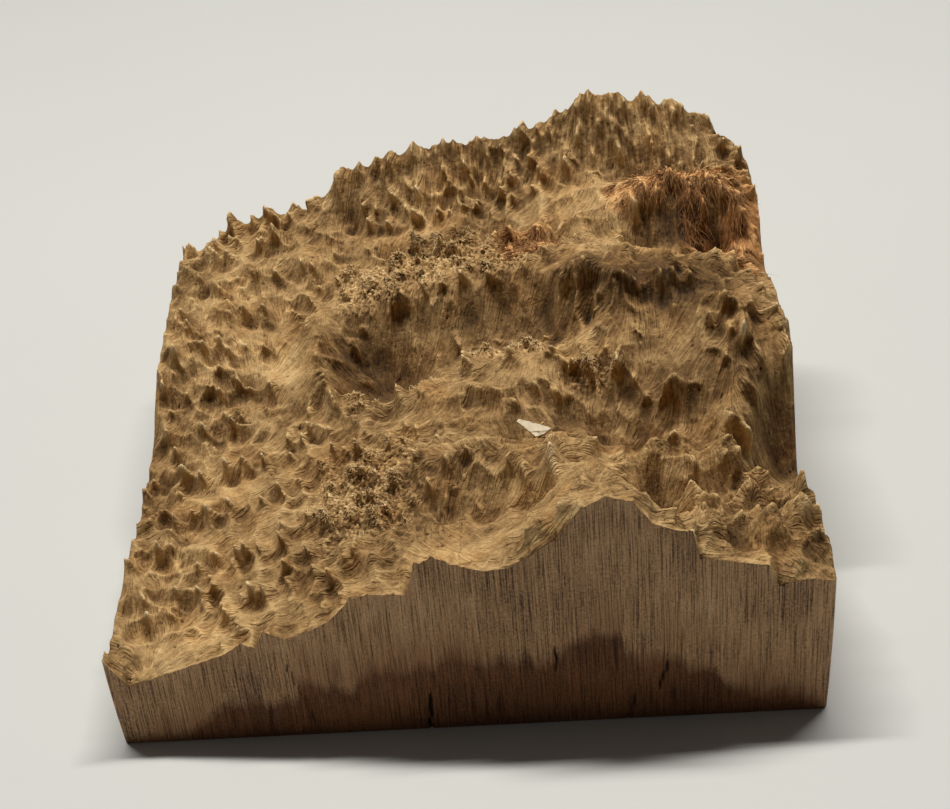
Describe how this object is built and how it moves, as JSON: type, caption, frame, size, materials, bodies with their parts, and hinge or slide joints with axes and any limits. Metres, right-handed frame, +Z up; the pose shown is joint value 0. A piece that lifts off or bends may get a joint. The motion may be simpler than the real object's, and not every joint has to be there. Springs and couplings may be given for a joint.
{
  "type": "burl bowl blank",
  "caption": "Block sawn from a burl for turning a bowl: flat underneath and on its four sides, with the burl's own thorny, ridged surface left on top.",
  "frame": {"origin": "middle of the sawn underside", "axes": "+X to the right along the sawn front, +Y from the front to the back, +Z up"},
  "size_m": [0.21, 0.2, 0.1098],
  "materials": {
    "burl_wood": "dry and matt: honey-brown fibrous burl with combed grain on top, grey-brown sawn sides with a darker red-brown band at the foot"
  },
  "bodies": {
    "root": {"burl_block": "burl_wood"}
  },
  "joints": []
}
